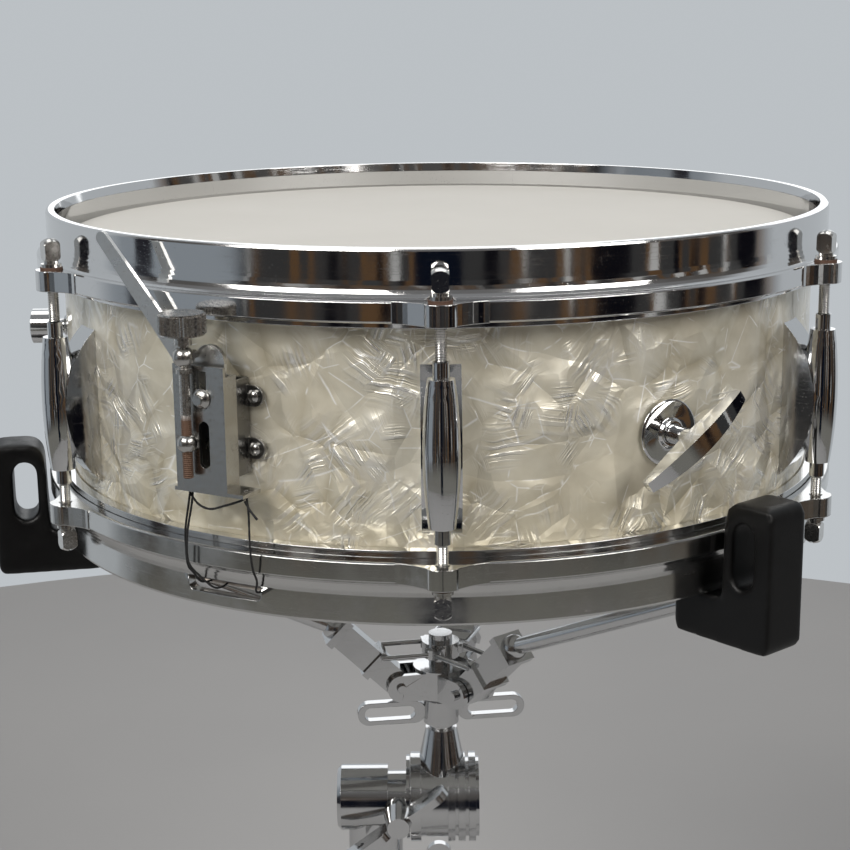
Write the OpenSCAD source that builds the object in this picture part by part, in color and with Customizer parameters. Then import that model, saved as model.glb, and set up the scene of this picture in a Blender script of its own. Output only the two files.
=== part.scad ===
// Six-lug snare drum on its folding basket stand.
// Millimetres, +Z up. The origin is on the floor, under the middle of the stand's tube.
// The drum's axis stands beside the tube, at basket_offset along +X. Azimuth 0 faces -Y
// and grows towards +X.

/* [Drum shell] */
// Outside diameter of the wooden shell
shell_od = 351.6; // [320:0.2:380]
// Height of the shell between its bearing edges
shell_h = 125; // [115:1:150]
// Thickness of the shell
shell_wall = 5.5; // [4:0.5:8]
// Thickness of the pearl covering
wrap_t = 0.5; // [0.3:0.1:1]
// Inset of the bearing edge's crest from the shell's outside
bearing_inset = 3.3; // [2:0.1:3.8]
// Radius of the vent's hole
vent_r = 5; // [3:0.5:7]

/* [Heads] */
// Thickness of a head's film
film_t = 0.4; // [0.3:0.1:0.6]
// Radial width of a flesh hoop
flesh_w = 4.7; // [3.5:0.1:6]
// Height of a flesh hoop
flesh_h = 11; // [8:0.5:12]

/* [Hoops] */
// Height of a hoop's rim above the bearing edge
rim_rise = 12.8; // [9:0.1:16]
// Thickness of a hoop's rim wall
rim_t = 5; // [4:0.1:6]
// Width of the ledge outside the rim wall
ledge_w = 5; // [3:0.1:6]
// Height of the hoop's outer flange
flange_h = 8.7; // [7:0.1:10]
// Half the width of an ear where it leaves the flange
ear_half = 18.5; // [15:0.5:22]
// Radius of an ear's nose
ear_nose_r = 7.1; // [6:0.1:9]

/* [Lugs and rods] */
// Number of lugs round the drum
lug_count = 6; // [6:2:6]
// Height of the lug's middle above the shell's middle
lug_mid = -2.5; // [-6:0.5:4]
// Length of a lug's barrel
barrel_h = 58.8; // [46:0.2:62]
// Barrel radius at its ends
barrel_end_r = 5.35; // [5:0.05:6.5]
// Barrel radius at its middle
barrel_mid_r = 7.5; // [6.6:0.1:8.5]
// Width of the lug's D-shaped body
lug_body_w = 16; // [12:0.5:19]
// Thread diameter of a tension rod
rod_d = 4.9; // [4:0.1:5]
// Width across the flats of a rod's square head
rod_head_w = 6.65; // [6:0.05:7]
// Height of a rod's square head
rod_head_h = 10.9; // [8:0.1:13]
// Length of a rod under its collar
rod_len = 46; // [38:1:50]

/* [Strainer] */
// Azimuth of the strainer's middle
strainer_az = -29.2; // [-34:0.2:-26]
// Diameter of the knurled tension knob
knob_d = 18.8; // [14:0.2:20]
// Diameter of the tension spindle
spindle_d = 4.3; // [4:0.1:4.6]
// Length of the throw-off lever from its pivot to its tip
lever_len = 80; // [60:1:84]
// Width of the throw-off lever's blade
lever_w = 9; // [6:0.5:10]
// Width of the lever at its tip
lever_tip_w = 5.4; // [4:0.2:8]
// Thickness of the throw-off lever's blade
lever_t = 1.8; // [1.2:0.1:2]
// Diameter of the lever's pivot screw
pivot_d = 4; // [3.6:0.1:4]

/* [Snares] */
// Number of snare wires
wire_count = 12; // [6:2:16]
// Outside diameter of one snare wire's coil
wire_d = 1.4; // [1:0.1:1.6]
// Width of the snare gate cut through the bottom rim
gate_w = 36; // [35:0.2:44]

/* [Dampers] */
// Azimuth of the T-bar damper
damper_az = 31.2; // [26:0.2:33]
// Length of the T-bar handle
handle_len = 57.5; // [36:0.5:60]
// Turn of the T-bar handle from level
handle_turn = 34.5; // [0:0.5:45]
// Diameter of the round tone knob
tone_knob_d = 16.6; // [12:0.2:20]

/* [Stand] */
// Sideways distance from the stand's tube to the basket's axis
basket_offset = 34.5; // [33:0.5:40]
// Height of the drum's middle above the floor
drum_height = 525; // [510:5:600]
// Depth of the basket's hub under the drum's bottom rim
hub_drop = 94.7; // [90:0.5:110]
// Depth of the tilter's axis under the basket's hub
tilter_drop = 65; // [62:0.5:80]
// Wall of the upper tube
upper_tube_wall = 1.5; // [1:0.1:3]
// Outside diameter of the lower tube
lower_tube_d = 25.4; // [20:0.1:28]
// Wall of the lower tube
lower_tube_wall = 1.65; // [1:0.05:2.5]
// Depth of the leg pivots under the tilter's axis
leg_pivot_drop = 85; // [78:1:90]
// Distance from the tube's axis to the middle of each foot
foot_reach = 210.5; // [190:0.5:240]
// Diameter of a leg
leg_d = 13; // [10:0.5:14]
// Length of a brace between its pivots
brace_len = 85; // [75:1:90]
// Width of a basket arm
arm_w = 14; // [10:0.5:15]
// Width of a rubber grip
grip_w = 23; // [20:0.5:30]

/* [Hidden] */
$fn = 96;

// Clearances
fit_gap = 0.05;
side_gap = 0.4;
seat_gap = 0.3;

// Drum radii, from the shell outwards
shell_r = shell_od / 2;
shell_ri = shell_r - shell_wall;
wrap_r = shell_r + wrap_t;
crest_r = shell_r - bearing_inset;
film_ri = wrap_r + 0.1;
film_ro = film_ri + film_t;
flesh_ro = film_ro + flesh_w;
hoop_seat_r = flesh_ro + side_gap;
rim_ri = film_ro + 1.2;
rim_ro = rim_ri + rim_t;
flange_r = rim_ro + ledge_w;
rod_r = flange_r + 2.9;

// Drum heights, from the shell's middle upwards
edge_z = shell_h / 2;
rim_z = edge_z + rim_rise;
ledge_z = edge_z + 0.5;
flange_top = edge_z - 6.5;
flange_bot = flange_top - flange_h;
flesh_top = flange_top - 0.6;
flesh_bot = flesh_top - flesh_h;
film_foot = flesh_top - 0.8 * flesh_h;
wrap_top = edge_z - bearing_inset - 1;

// Lugs and rods
lug_step = 360 / lug_count;
lug_bore_d = rod_d + 0.3;
nozzle_d = 6.5;
nozzle_h = 6.5;
lug_screw_d = 4;
lug_screw_gap = 26;
body_arc_r = 47;
body_out_r = rod_r - 0.2;
body_mid = lug_mid - 2;
washer_t = 1.1;
washer_d = 9.6;
pocket_d = washer_d + 5.4;
collar_t = 1.5;
collar_d = 8.8;
head_foot = flange_top + washer_t + collar_t;

// Strainer: distances of its layers from the drum's axis
knob_r = knob_d / 2;
spindle_r0 = flange_r + knob_r + 2.6;
lever_r0 = flange_r + 2.5;
slider_r0 = lever_r0 + lever_t + 2.5;
slider_t = 1.5;
slider_front = slider_r0 + slider_t;
bracket_front = lever_r0 - 1.2;
bracket_t = 1.8;
// Strainer: places across (t) and up (z) on its face
pivot_t = 3;
pivot_z = 16;
spindle_t = -2.2;
upper_ball_z = 32.9;
upper_ball_d = 8.7;
lower_ball_z = -1.6;
lower_ball_d = 8;
knob_z = 41.6;
knob_h = 8.6;
spindle_foot = -15.6;
slider_left = -10.7;
slider_right = 13.5;
slider_top = 29;
lip_z = -21;
slider_wall = 8;
throw_drop = 7;
tension_travel = 1.6;
lever_lean = 39.5;
wall_in = slider_right - 1.3;

// Bracket screws and the snare gate
bracket_screw_t = 15.2;
bracket_screw_up = 14.7;
bracket_screw_low = -6.7;
screw_d = 3.4;
screw_head_d = 5.4;
gate_top = -(edge_z + 0.5);
gate_bot = gate_top - 6.3;
butt_az = strainer_az + 180;
bar_r0 = rim_ri - 3.2;
bar_d = 3.6;
bar_len = 34;
bar_z = -(edge_z + film_t + wire_d + 1.7);
snare_w = 30;
cord_d = 1;

// Dampers
damper_z = -4.5;
damper_stem_d = 8;
handle_r0 = wrap_r + 19.7;
handle_w = 8;
handle_end_w = 4.6;
handle_t = 8;
felt_lift = 5;
felt_top = edge_z - felt_lift - 0.4;
felt_r0 = 142;
tone_az = -89.2;
vent_az = -150;
tone_z = 15;
tone_stem_d = 7;
tone_tip = wrap_r + 21;

// Stand heights above the floor
rim_floor = drum_height - rim_z;
hub_z = rim_floor - hub_drop;
tilt_z = hub_z - tilter_drop;
leg_pivot_z = tilt_z - leg_pivot_drop;
socket_foot = tilt_z - 32;
tube_foot = 18;
upper_tube_d = lower_tube_d - 2 * lower_tube_wall - 2 * fit_gap;
upper_tube_foot = 32;
clamp_z = leg_pivot_z + 17;
clamp_h = 28;
leg_collar_h = 24;
runner_h = 18;
pin_over = 4.5;
clamp_lap = 12;
clamp_bolt_z = clamp_z + 18;

// Basket
arm_azs = [40.8, -79.2, 160.8];
arm_pivot_r = 22;
arm_pin_d = 5;
arm_elbow = 45;
band_t = 1.5;
arm_tip_len = 34;
arm_tip_d = 8;
grip_foot_h = 20.5;
grip_reach = 37.7;
grip_in = wrap_r - 12.5;
grip_out = wrap_r + grip_reach;
grip_rise = 42;
arm_tip_r = grip_in - 4;
arm_tip_z = rim_floor - 13;
hub_r = 14;
hub_low = -7;
hub_high = 8;
stem_d = 12;
nut_top = hub_z - 10;
nut_h = 13;

// Tilter
base_d = 33.7;
head_d = 46;
base_in = basket_offset - 16.4;
head_out = basket_offset + 19;
head_len = head_out - base_in - side_gap;
rib_rise = 2.5;
rib_step = 5.3;
rib_w = 3.6;
base_neck_d = 27;
barrel_edge = 2;
drum_len = 26;
tilt_pin_d = 10;
tilter_bolt_x = basket_offset - 22;
wing_bolt_d = 8;
barrel_len = 37.3;
tilter_bolt_r0 = tilt_pin_d / 2 + 0.5;
tilter_shank = head_d / 2 + side_gap - tilter_bolt_r0;
tilter_wing_low = 34;
tilter_wing_high = 26;
height_shank = 14;
height_wing = 20;
socket_h = 30;
socket_lap = 22;
neck_h = 24;
neck_foot = tilt_z + head_d / 2 - rib_rise - 5.5;
stem_top = hub_z + 25;
pin_reach = 19;

// Tripod
leg_azs = [-90, 30, 150];
collar_wall = 4;
knuckle_r = 6;
knuckle_w = 10;
leg_pivot_r = lower_tube_d / 2 + collar_wall + knuckle_r + side_gap;
foot_z = 9;
foot_r = 12;
leg_run = foot_reach - leg_pivot_r;
leg_fall = leg_pivot_z - foot_z;
leg_len = sqrt(leg_run * leg_run + leg_fall * leg_fall);
leg_angle = atan2(leg_run, leg_fall);
runner_z = leg_pivot_z - 2 * brace_len * cos(leg_angle);
hinge_d = 5;
brace_t = 2;
lug_half = leg_d / 2;

// Places children made on the -Y side at azimuth az round the axis
module at_az(az) {
    rotate([0, 0, az]) children();
}

// Children with x across, y up and z outwards, at radius r and height z
module facing(az, r, z) {
    at_az(az) translate([0, -r, z]) rotate([90, 0, 0]) children();
}

module drum_space() {
    translate([basket_offset, 0, drum_height]) children();
}

module basket_space() {
    translate([basket_offset, 0, 0]) children();
}

module tube(r_out, r_in, h) {
    difference() {
        cylinder(r = r_out, h = h);
        translate([0, 0, -1]) cylinder(r = r_in, h = h + 2);
    }
}

// Flat bar with round ends, from x = 0 to x = len
module round_bar(len, w, h) {
    cylinder(d = w, h = h);
    translate([len, 0, 0]) cylinder(d = w, h = h);
    translate([0, -w / 2, 0]) cube([len, w, h]);
}

// Flat bar that narrows along +X from the origin to a rounded tip
module taper_bar(len, w0, w1, h) {
    translate([len, 0, 0]) cylinder(d = w1, h = h);
    linear_extrude(h) polygon([[0, -w0 / 2], [len, -w1 / 2], [len, w1 / 2], [0, w0 / 2]]);
}

// Loop-shaped wing from x = 0 to x = len
module wing(len, w, t) {
    difference() {
        translate([w / 2, 0, 0]) round_bar(len - w, w, t);
        translate([w / 2 + 3, 0, -1]) round_bar(len - w - 4, w - 5, t + 2);
    }
}

// Flat wing with a small hole near its root
module paddle(len, w, t) {
    difference() {
        translate([w / 2, 0, 0]) round_bar(len - w, w, t);
        translate([0.55 * len, 0, -1]) cylinder(d = t, h = t + 2);
    }
}

// Screw with a domed head; z = 0 is the seat under its head
module dome_screw(d, head_d, head_h, len) {
    translate([0, 0, -len]) cylinder(d = d, h = len + 0.2);
    intersection() {
        cylinder(d = head_d, h = head_h);
        translate([0, 0, head_h - head_d * 0.62]) sphere(d = head_d * 1.24);
    }
}

// ---- Shell ----

module lug_screw_places() {
    for (i = [0:lug_count - 1], s = [-1, 1])
        facing(i * lug_step, shell_ri, lug_mid + s * lug_screw_gap / 2) children();
}

module bracket_screw_places() {
    for (az = [strainer_az, butt_az], s = [-1, 1], z = [bracket_screw_up, bracket_screw_low])
        facing(az, wrap_r, z) translate([s * bracket_screw_t, 0, 0]) children();
}

module shell_holes() {
    lug_screw_places() translate([0, 0, -3]) cylinder(d = lug_screw_d + 0.3, h = 15);
    bracket_screw_places() translate([0, 0, -12]) cylinder(d = screw_d + 0.2, h = 16);
    facing(damper_az, shell_ri, damper_z)
        translate([0, 0, -6]) cylinder(d = damper_stem_d + 2, h = 20);
    facing(tone_az, shell_ri, tone_z)
        translate([0, 0, -6]) cylinder(d = tone_stem_d + 2, h = 20);
    facing(vent_az, shell_ri, 0) translate([0, 0, -6]) cylinder(r = vent_r + 1, h = 20);
}

module shell() {
    bevel_in = crest_r - shell_ri;
    color("burlywood") drum_space() difference() {
        rotate_extrude($fn = 180) polygon([
            [shell_ri, bevel_in - edge_z], [crest_r, -edge_z],
            [shell_r, bearing_inset - edge_z], [shell_r, edge_z - bearing_inset],
            [crest_r, edge_z], [shell_ri, edge_z - bevel_in]]);
        shell_holes();
    }
}

module shell_wrap() {
    color("ivory") drum_space() difference() {
        translate([0, 0, -wrap_top]) tube(wrap_r, shell_r, 2 * wrap_top, $fn = 180);
        shell_holes();
    }
}

module vent_grommet() {
    color("silver") drum_space() facing(vent_az, 0, 0) difference() {
        union() {
            translate([0, 0, wrap_r + 0.1]) cylinder(r = vent_r + 3, h = 1);
            translate([0, 0, shell_ri - 1]) cylinder(r = vent_r + 0.9, h = shell_wall + 2);
        }
        translate([0, 0, shell_ri - 2]) cylinder(r = vent_r, h = shell_wall + 6);
    }
}

// ---- Heads ----

module head_film() {
    rotate_extrude($fn = 180) polygon([
        [0, edge_z], [crest_r, edge_z],
        [film_ri, edge_z - (film_ri - crest_r)], [film_ri, film_foot],
        [film_ro, film_foot], [film_ro, edge_z - (film_ri - crest_r) + film_t / 2],
        [crest_r + film_t / 2, edge_z + film_t], [0, edge_z + film_t]]);
}

module flesh_ring() {
    translate([0, 0, flesh_bot]) tube(flesh_ro, film_ro, flesh_h, $fn = 180);
}

module batter_head() {
    color("whitesmoke") drum_space() head_film();
}

module snare_head() {
    color("gainsboro") drum_space() mirror([0, 0, 1]) head_film();
}

module batter_flesh_hoop() {
    color("silver") drum_space() flesh_ring();
}

module snare_flesh_hoop() {
    color("silver") drum_space() mirror([0, 0, 1]) flesh_ring();
}

// ---- Hoops ----

// Cove that falls from the rim wall out to the flange's edge
function cove(a) = [
    rim_ro + (ledge_w - 0.7) * (1 - cos(a)),
    ledge_z - (ledge_z - flange_top) * sin(a)
];

module hoop_section() {
    polygon(concat(
        [[rim_ri + 1, rim_z], [rim_ri, rim_z - 4.3], [rim_ri, flesh_top],
         [hoop_seat_r, flesh_top], [hoop_seat_r, flange_bot],
         [flange_r - 0.7, flange_bot], [flange_r, flange_bot + 0.7],
         [flange_r, flange_top - 0.7]],
        [for (a = [90:-15:0]) cove(a)],
        [[rim_ro, rim_z - 1.2], [rim_ro - 0.4, rim_z - 0.35], [rim_ro - 1.2, rim_z]]));
}

// Lug ear: two hollow flanks that rise to a round nose over the rod
module ear() {
    base = sqrt(flange_r * flange_r - ear_half * ear_half) + 0.3;
    nose_out = 3.5;
    nose_half = ear_nose_r - 1;
    shoulder = rod_r + ear_nose_r - 0.3 - nose_out;
    steps = 6;
    flank = [for (i = [0:steps]) let (s = i / steps)
        [ear_half - (ear_half - nose_half) * s, base + (shoulder - base) * pow(s, 1.5)]];
    translate([0, 0, flange_bot]) linear_extrude(flange_h) polygon(concat(
        [[ear_half, 2 - flange_r]],
        [for (q = flank) [q.x, -q.y]],
        [for (a = [15:15:165]) [nose_half * cos(a), -shoulder - nose_out * sin(a)]],
        [for (i = [steps:-1:0]) [-flank[i].x, -flank[i].y]],
        [[-ear_half, 2 - flange_r]]));
}

module hoop() {
    difference() {
        union() {
            rotate_extrude($fn = 180) hoop_section();
            for (i = [0:lug_count - 1]) at_az(i * lug_step) ear();
        }
        for (i = [0:lug_count - 1]) at_az(i * lug_step) translate([0, -rod_r, 0]) {
            translate([0, 0, flange_bot - 1]) cylinder(d = rod_d + 0.7, h = flange_h + 2);
            translate([0, 0, flange_top]) cylinder(d = pocket_d, h = rim_rise + 8);
        }
    }
}

module batter_hoop() {
    color("silver") drum_space() hoop();
}

module snare_hoop() {
    color("silver") drum_space() difference() {
        mirror([0, 0, 1]) hoop();
        for (az = [strainer_az, butt_az]) at_az(az) gate_cut();
    }
}

// Window in the rim for the snares' cords, round at its lower corners
module gate_cut() {
    corner = 2.5;
    deep = rim_t + 4;
    translate([-gate_w / 2, -rim_ro - 1, gate_bot + corner])
        cube([gate_w, deep, gate_top - gate_bot - corner]);
    translate([corner - gate_w / 2, -rim_ro - 1, gate_bot]) cube([gate_w - 2 * corner, deep, 2 * corner]);
    for (s = [-1, 1]) translate([s * (gate_w / 2 - corner), -rim_ro - 1, gate_bot + corner])
        rotate([-90, 0, 0]) cylinder(r = corner, h = deep);
}

// ---- Lugs and tension rods ----

module lug() {
    arc_r = (pow(barrel_h / 2, 2) + pow(barrel_mid_r - barrel_end_r, 2)) /
        (2 * (barrel_mid_r - barrel_end_r));
    difference() {
        union() {
            translate([0, -rod_r, lug_mid]) {
                rotate_extrude() intersection() {
                    translate([barrel_mid_r - arc_r, 0]) circle(r = arc_r, $fn = 360);
                    translate([0, -barrel_h / 2]) square([barrel_mid_r + 1, barrel_h]);
                }
                translate([0, 0, -barrel_h / 2 - nozzle_h])
                    cylinder(d = nozzle_d, h = barrel_h + 2 * nozzle_h);
            }
            intersection() {
                translate([-lug_body_w / 2, body_arc_r - body_out_r, body_mid])
                    rotate([0, 90, 0]) cylinder(r = body_arc_r, h = lug_body_w, $fn = 180);
                translate([-lug_body_w / 2, -rod_r, body_mid - 60])
                    cube([lug_body_w, rod_r - shell_r + 2, 120]);
            }
        }
        translate([0, -rod_r, lug_mid - barrel_h]) cylinder(d = lug_bore_d, h = 2 * barrel_h);
        translate([0, 0, lug_mid - 60]) cylinder(r = wrap_r, h = 120, $fn = 180);
        for (s = [-1, 1]) translate([0, 1 - wrap_r, lug_mid + s * lug_screw_gap / 2])
            rotate([90, 0, 0]) cylinder(d = lug_screw_d + 0.1, h = 8);
    }
}

module lugs() {
    color("silver") drum_space() for (i = [0:lug_count - 1]) at_az(i * lug_step) lug();
}

module lug_screws() {
    color("dimgray") drum_space() lug_screw_places() {
        translate([0, 0, -0.4]) cylinder(d = lug_screw_d, h = shell_wall + 6.5);
        translate([0, 0, -1.4]) cylinder(d = 9, h = 1);
        translate([0, 0, -4.4]) cylinder(d = 7, h = 3, $fn = 6);
    }
}

// Ridged cylinder between two heights
module thread(d, pitch, z0, z1) {
    turns = floor((z1 - z0) / pitch);
    rotate_extrude() polygon(concat(
        [[0, z0], [0, z1], [d / 2 - 0.35, z1]],
        [for (i = [turns - 1:-1:0]) each [
            [d / 2, z0 + (i + 0.5) * pitch], [d / 2 - 0.35, z0 + i * pitch]]]));
}

module tension_rod() {
    translate([0, -rod_r, 0]) {
        thread(rod_d, 1, flange_bot - 17, flange_bot - 0.5);
        translate([0, 0, flange_bot - 0.5])
            cylinder(d = rod_d, h = head_foot - collar_t - flange_bot + 1);
        translate([0, 0, head_foot - collar_t - rod_len])
            cylinder(d = rod_d - 0.7, h = rod_len - 10);
        translate([0, 0, head_foot - collar_t]) cylinder(d = collar_d, h = collar_t);
        translate([0, 0, head_foot]) difference() {
            intersection() {
                translate([-rod_head_w / 2, -rod_head_w / 2, 0])
                    cube([rod_head_w, rod_head_w, rod_head_h]);
                translate([0, 0, rod_head_h - 5.4]) sphere(r = 5.4);
            }
            translate([-rod_head_w, -0.5, rod_head_h - 1.4]) cube([2 * rod_head_w, 1, 2]);
        }
        translate([0, 0, head_foot])
            cylinder(d = rod_head_w - 0.4, h = rod_head_h - 3);
    }
}

module rods() {
    for (i = [0:lug_count - 1]) at_az(i * lug_step) tension_rod();
}

module batter_rods() {
    color("silver") drum_space() rods();
}

module snare_rods() {
    color("gainsboro") drum_space() mirror([0, 0, 1]) rods();
}

module rod_washers() {
    color("saddlebrown") drum_space() for (m = [0, 1]) mirror([0, 0, m])
        for (i = [0:lug_count - 1]) at_az(i * lug_step)
            translate([0, -rod_r, flange_top]) tube(washer_d / 2, rod_d / 2 + 0.2, washer_t);
}

// ---- Strainer ----

// Base plate on the shell, with two side walls and four screw ears
module strainer_bracket() {
    wall_h = bracket_front - wrap_r - 0.5;
    color("silver") drum_space() facing(strainer_az, wrap_r + 0.5, 0) difference() {
        union() {
            translate([-9, -17, 0]) cube([20.8, 39, bracket_t]);
            translate([-9, -17, 0]) cube([1.6, 39, wall_h]);
            translate([10.2, -17, 0]) cube([1.6, 39, wall_h]);
            translate([-9, 8, wall_h - bracket_t]) cube([20.8, 14, bracket_t]);
            for (z = [bracket_screw_up, bracket_screw_low]) translate([-bracket_screw_t, z, 0])
                round_bar(2 * bracket_screw_t, 8.6, bracket_t);
        }
        for (s = [-1, 1], z = [bracket_screw_up, bracket_screw_low])
            translate([s * bracket_screw_t, z, -1]) cylinder(d = screw_d + 0.2, h = 5);
        translate([pivot_t, pivot_z, wall_h - 4]) cylinder(d = pivot_d + 0.06, h = 8);
    }
}

// Screw that the lever turns on, with its spacer and domed head
module strainer_pivot() {
    color("silver") drum_space() facing(strainer_az, 0, pivot_z) translate([pivot_t, 0, 0]) {
        translate([0, 0, bracket_front - 3.4]) cylinder(d = pivot_d, h = 14);
        translate([0, 0, lever_r0 + lever_t + seat_gap])
            cylinder(d = pivot_d + 0.2, h = slider_front - lever_r0 - lever_t);
        translate([0, 0, slider_front + seat_gap]) dome_screw(pivot_d, 2 * pivot_d, 2.2, 2);
    }
}

module mounting_screws() {
    color("gainsboro") drum_space() bracket_screw_places()
        translate([0, 0, bracket_t + 0.55]) dome_screw(screw_d, screw_head_d, 2.2, 7);
}

// Blade, hub and crank of the throw-off, in the plane behind the slider
module throw_off_lever() {
    color("silver") drum_space() facing(strainer_az, lever_r0, pivot_z)
        translate([pivot_t, 0, 0]) difference() {
            union() {
                rotate([0, 0, 90 + lever_lean]) taper_bar(lever_len - lever_tip_w / 2, lever_w, lever_tip_w,
                    lever_t);
                cylinder(r = 8.5, h = lever_t);
                rotate([0, 0, 84]) round_bar(14, 14, lever_t);
            }
            translate([0, 0, -1]) cylinder(d = pivot_d + 2 * fit_gap, h = lever_t + 2);
        }
}

// Ball nut that hangs on the crank and carries the spindle
module upper_trunnion() {
    post_d = 3.6;
    color("silver") drum_space() facing(strainer_az, 0, upper_ball_z)
        translate([spindle_t, 0, 0]) difference() {
            union() {
                translate([0, 0, spindle_r0]) sphere(d = upper_ball_d);
                translate([0, 0, lever_r0 + lever_t + 0.6])
                    cylinder(d = post_d, h = spindle_r0 - lever_r0 - lever_t - 0.6);
            }
            translate([0, 0, spindle_r0]) rotate([90, 0, 0])
                cylinder(d = spindle_d + 2 * fit_gap, h = 20, center = true);
        }
}

module tension_knob() {
    flutes = 44;
    color("darkgray") drum_space() at_az(strainer_az) translate([spindle_t, -spindle_r0, 0]) {
        translate([0, 0, knob_z + 0.7]) linear_extrude(knob_h - 1.4) polygon([
            for (i = [0:flutes - 1], s = [0, 1]) let (a = (i + s / 2) * 360 / flutes)
                (knob_r - s * 0.5) * [cos(a), sin(a)]]);
        translate([0, 0, knob_z]) cylinder(d = knob_d - 1.4, h = knob_h);
        translate([0, 0, upper_ball_z + upper_ball_d / 2 + 0.3])
            cylinder(d = 7, h = knob_z - upper_ball_z - upper_ball_d / 2);
        translate([0, 0, 10]) cylinder(d = spindle_d, h = knob_z - 9);
        translate([0, 0, upper_ball_z - upper_ball_d / 2 - 2.1]) cylinder(d = 6.6, h = 1.8);
        thread(spindle_d, 0.8, spindle_foot, 10);
    }
}

// Front plate with the lower ball nut, one side wall and the folded cord lip
module strainer_slider() {
    slot_up = pivot_d / 2 + throw_drop + tension_travel + seat_gap;
    slot_low = pivot_d / 2 + tension_travel + seat_gap;
    color("silver") drum_space() facing(strainer_az, 0, 0) difference() {
        union() {
            translate([slider_left, lip_z, slider_r0])
                cube([slider_right - slider_left, slider_top - lip_z, slider_t]);
            translate([wall_in, lip_z, slider_r0 + 1 - slider_wall])
                cube([slider_right - wall_in, 46, slider_wall]);
            translate([-12, lip_z - slider_t, slider_front - 12]) cube([33, slider_t, 12]);
            translate([spindle_t, lower_ball_z, slider_front - 0.5])
                cylinder(d = 5, h = spindle_r0 - slider_front + 0.5);
            translate([spindle_t, lower_ball_z, spindle_r0]) sphere(d = lower_ball_d);
        }
        translate([pivot_t - pivot_d / 2 - seat_gap, pivot_z - slot_low, slider_r0 - 1])
            cube([pivot_d + 2 * seat_gap, slot_low + slot_up, slider_t + 2]);
        translate([3.4, lower_ball_z - 8, slider_r0 - 1]) rotate([0, 0, 90])
            round_bar(14, 5, slider_t + 2);
        translate([spindle_t, 0, spindle_r0]) rotate([90, 0, 0])
            cylinder(d = spindle_d + 2 * fit_gap, h = 40, center = true);
        for (t = [-9, 18]) translate([t, lip_z + 2, lever_r0 - 0.5]) rotate([90, 0, 0])
            cylinder(d = 2, h = 6);
    }
}

// ---- Snares and their cords ----

// Closed tube swept along a chain of points
function unit(v) = v / norm(v);
function course(p, i) = unit(p[min(i + 1, len(p) - 1)] - p[max(i - 1, 0)]);
function ring_at(p, i, r) = let (
        d = course(p, i),
        u = unit(cross(d, abs(d.x) < 0.8 ? [1, 0, 0] : [0, 1, 0])),
        v = cross(d, u))
    [for (k = [0:7]) p[i] + r * (cos(k * 45) * u + sin(k * 45) * v)];

module cord_tube(p, d) {
    n = len(p);
    polyhedron(
        points = [for (i = [0:n - 1]) each ring_at(p, i, d / 2)],
        faces = concat(
            [[for (k = [0:7]) k]],
            [for (i = [0:n - 2], k = [0:7]) let (a = i * 8, b = (k + 1) % 8)
                [a + k, a + 8 + k, a + 8 + b, a + b]],
            [[for (k = [7:-1:0]) (n - 1) * 8 + k]]));
}

// Cord stretches on the strainer's face as [across, outwards, up]
cord_left = [[-9, 190, -22.7], [-10, 190.6, -30], [-12, 190.6, -40], [-12.4, 190.4, -48],
    [-12.4, 189.6, -56], [-11.6, 187, -60], [-10.6, 184.4, -64], [-10, 181, -65.4], [-10, 177.2, -66]];
cord_left_inner = [[-8, 190, -24], [-8.2, 191, -30], [-10.6, 191.4, -42], [-11, 191, -54],
    [-8, 187.4, -61], [-4, 184, -66], [-2, 181, -66.4], [-2, 177.2, -66]];
cord_right = [[18, 190, -22.7], [19.4, 190.8, -30], [19.6, 191, -42], [20, 190.4, -52],
    [19.6, 187, -59], [17.2, 184.4, -64], [16.2, 181, -66], [15.4, 177.2, -66]];
cord_cross = [[-8.6, 191.4, -24.4], [-4, 192, -28.6], [2, 192.4, -29.8], [9, 192.4, -27.6],
    [15, 191.6, -25.4], [18, 191.4, -24]];
cord_tail = [[18.6, 192, -24.6], [21.6, 192.6, -28], [25, 193, -31]];

module cords(az) {
    at_az(az) for (run = [cord_left, cord_left_inner, cord_right, cord_cross, cord_tail])
        cord_tube([for (q = run) [q.x, -q.y, q.z]], cord_d);
}

module snare_cord() {
    color("black") drum_space() cords(strainer_az);
}

module butt_cord() {
    color("black") drum_space() cords(butt_az);
}

module snare_wires() {
    wire_z = -(edge_z + film_t + 0.3 + wire_d / 2);
    color("silver") drum_space() {
        for (i = [0:wire_count - 1]) at_az(strainer_az)
            translate([(i / (wire_count - 1) - 0.5) * snare_w, bar_r0, wire_z])
                rotate([90, 0, 0]) cylinder(d = wire_d, h = 2 * bar_r0, $fn = 24);
        for (az = [strainer_az, butt_az]) at_az(az) translate([-bar_len / 2, -bar_r0, bar_z])
            rotate([0, 90, 0]) cylinder(d = bar_d, h = bar_len);
    }
}

// Fixed plate for the snare's far end
module butt_plate() {
    color("silver") drum_space() facing(butt_az, wrap_r + 0.5, 0) difference() {
        union() {
            translate([-9, lip_z, 0]) cube([18, 40, bracket_t]);
            translate([-12, lip_z - slider_t, 0]) cube([33, slider_t, 16]);
            for (z = [bracket_screw_up, bracket_screw_low]) translate([-bracket_screw_t, z, 0])
                round_bar(2 * bracket_screw_t, 8.6, bracket_t);
        }
        for (s = [-1, 1], z = [bracket_screw_up, bracket_screw_low])
            translate([s * bracket_screw_t, z, -1]) cylinder(d = screw_d + 0.2, h = 5);
    }
}

// ---- Dampers ----

// Dished rose round a stem
module rose(d, stem_d) {
    rotate_extrude() polygon([
        [stem_d / 2 + 0.1, 0.6], [d / 2 - 0.8, 0.6], [d / 2, 1.1], [d / 2 - 0.8, 1.8],
        [stem_d / 2 + 2.2, 2.4], [stem_d / 2 + 1.4, 4], [stem_d / 2 + 0.1, 4]]);
}

module damper_roses() {
    color("silver") drum_space() {
        facing(damper_az, wrap_r, damper_z) rose(28, damper_stem_d);
        facing(tone_az, wrap_r, tone_z) rose(20, tone_stem_d);
    }
}

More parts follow.
